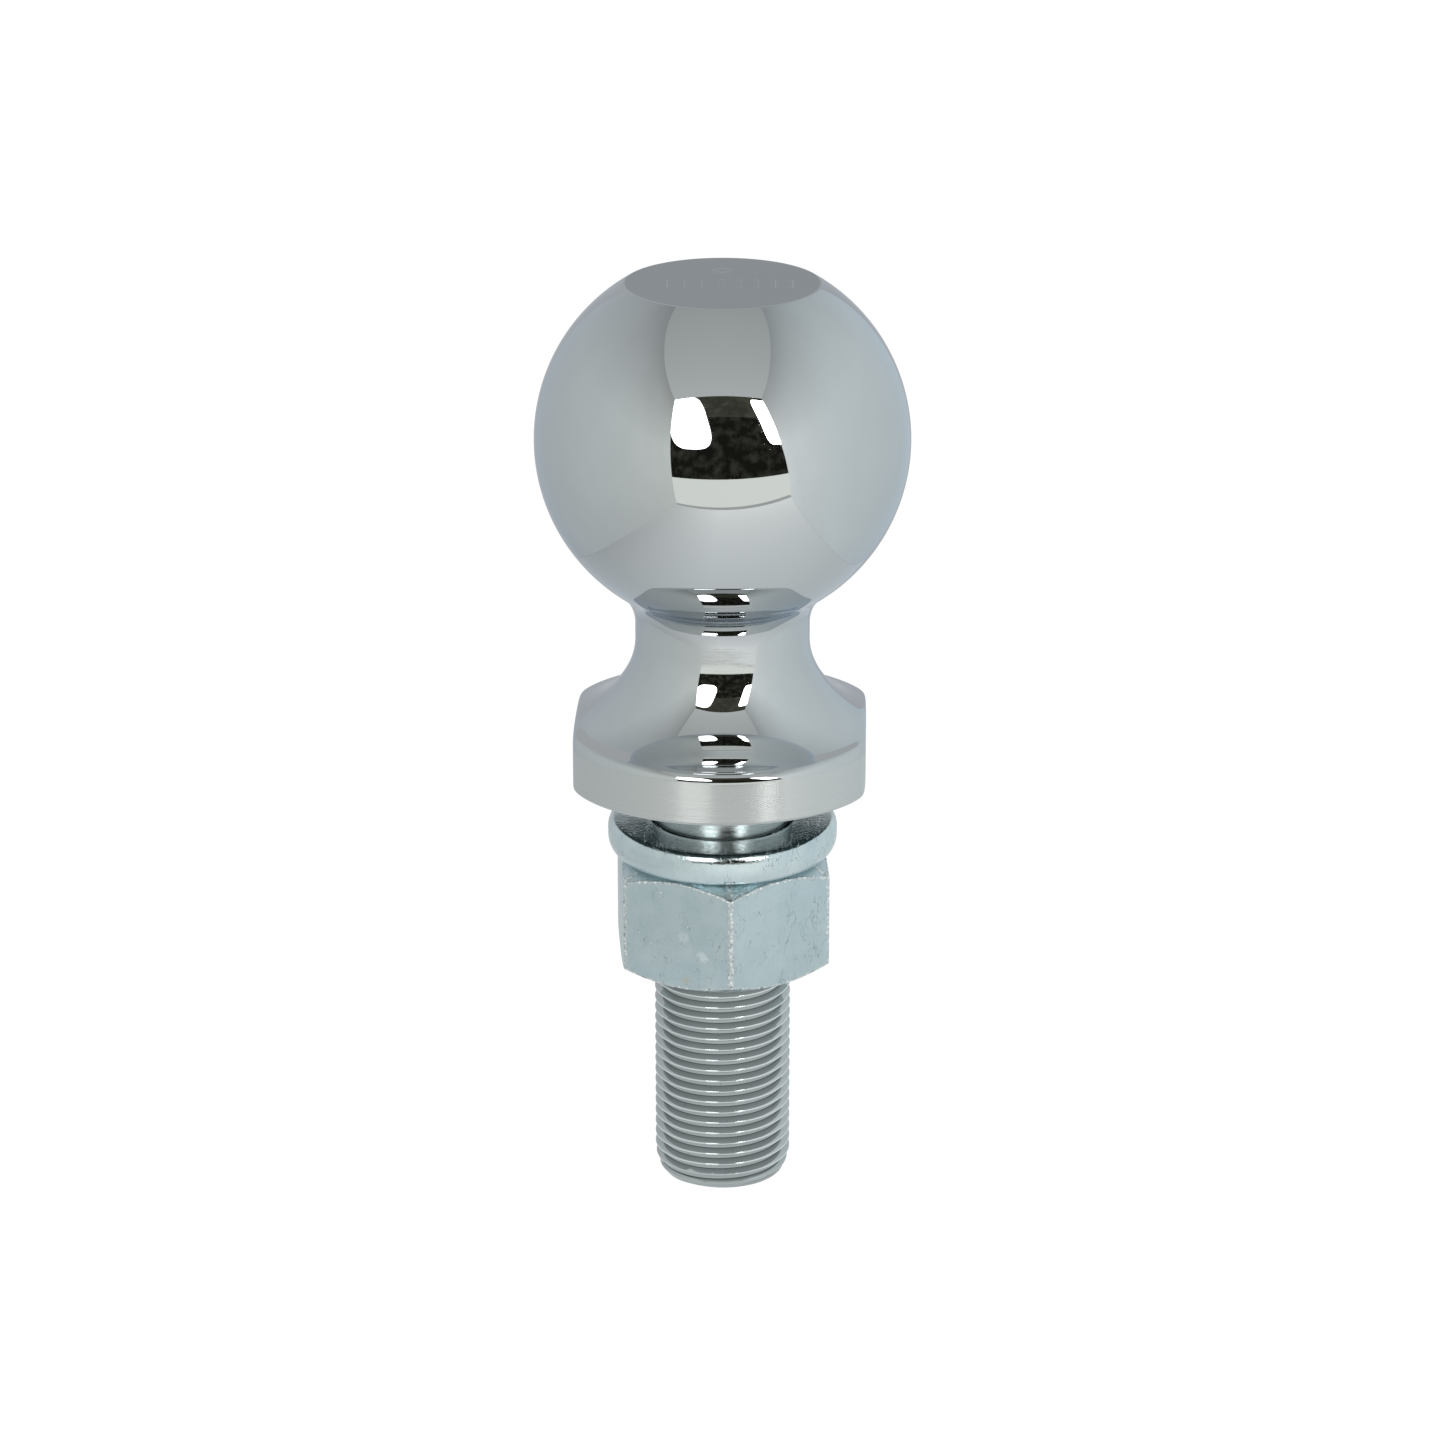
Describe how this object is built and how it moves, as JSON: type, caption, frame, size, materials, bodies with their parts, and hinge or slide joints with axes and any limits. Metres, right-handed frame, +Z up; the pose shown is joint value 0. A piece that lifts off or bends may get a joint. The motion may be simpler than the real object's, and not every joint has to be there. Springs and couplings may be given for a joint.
{
  "type": "trailer hitch ball",
  "caption": "Chromed trailer hitch ball with a wrench-flat collar and a threaded shank, with its split lock washer and hex nut.",
  "frame": {"origin": "middle of the shank's end face, which the object stands on", "axes": "+Z up along the shank towards the ball; the collar's wrench flats face -X and +X; the front faces -Y"},
  "size_m": [0.0508, 0.0508, 0.1291],
  "materials": {
    "chrome": "polished chrome plate on the ball, neck and collar top; satin turned band on the collar; semi-bright thread",
    "washer_zinc": "bright zinc plate with a blue tint, glossy on its rounded edge",
    "nut_zinc": "bright zinc plate with a blue tint, handling marks, worn and speckled corners"
  },
  "bodies": {
    "ball": {"hitch_ball": "chrome"},
    "washer": {"lock_washer": "washer_zinc"},
    "nut": {"hex_nut": "nut_zinc"}
  },
  "joints": [
    {"name": "washer_travel", "type": "slide", "parent": "ball", "child": "washer", "axis": [0, 0, 1], "range_m": [-0.03175, 0.00476]},
    {"name": "nut_turn", "type": "hinge", "parent": "washer", "child": "nut", "pos_m": [0, 0, 0.04024], "axis": [0, 0, 1], "range_deg": [-7200, 1080]}
  ],
  "couplings": [
    {"joint": "washer_travel", "follows": "nut_turn", "m_per_rad": 0.00025266}
  ]
}
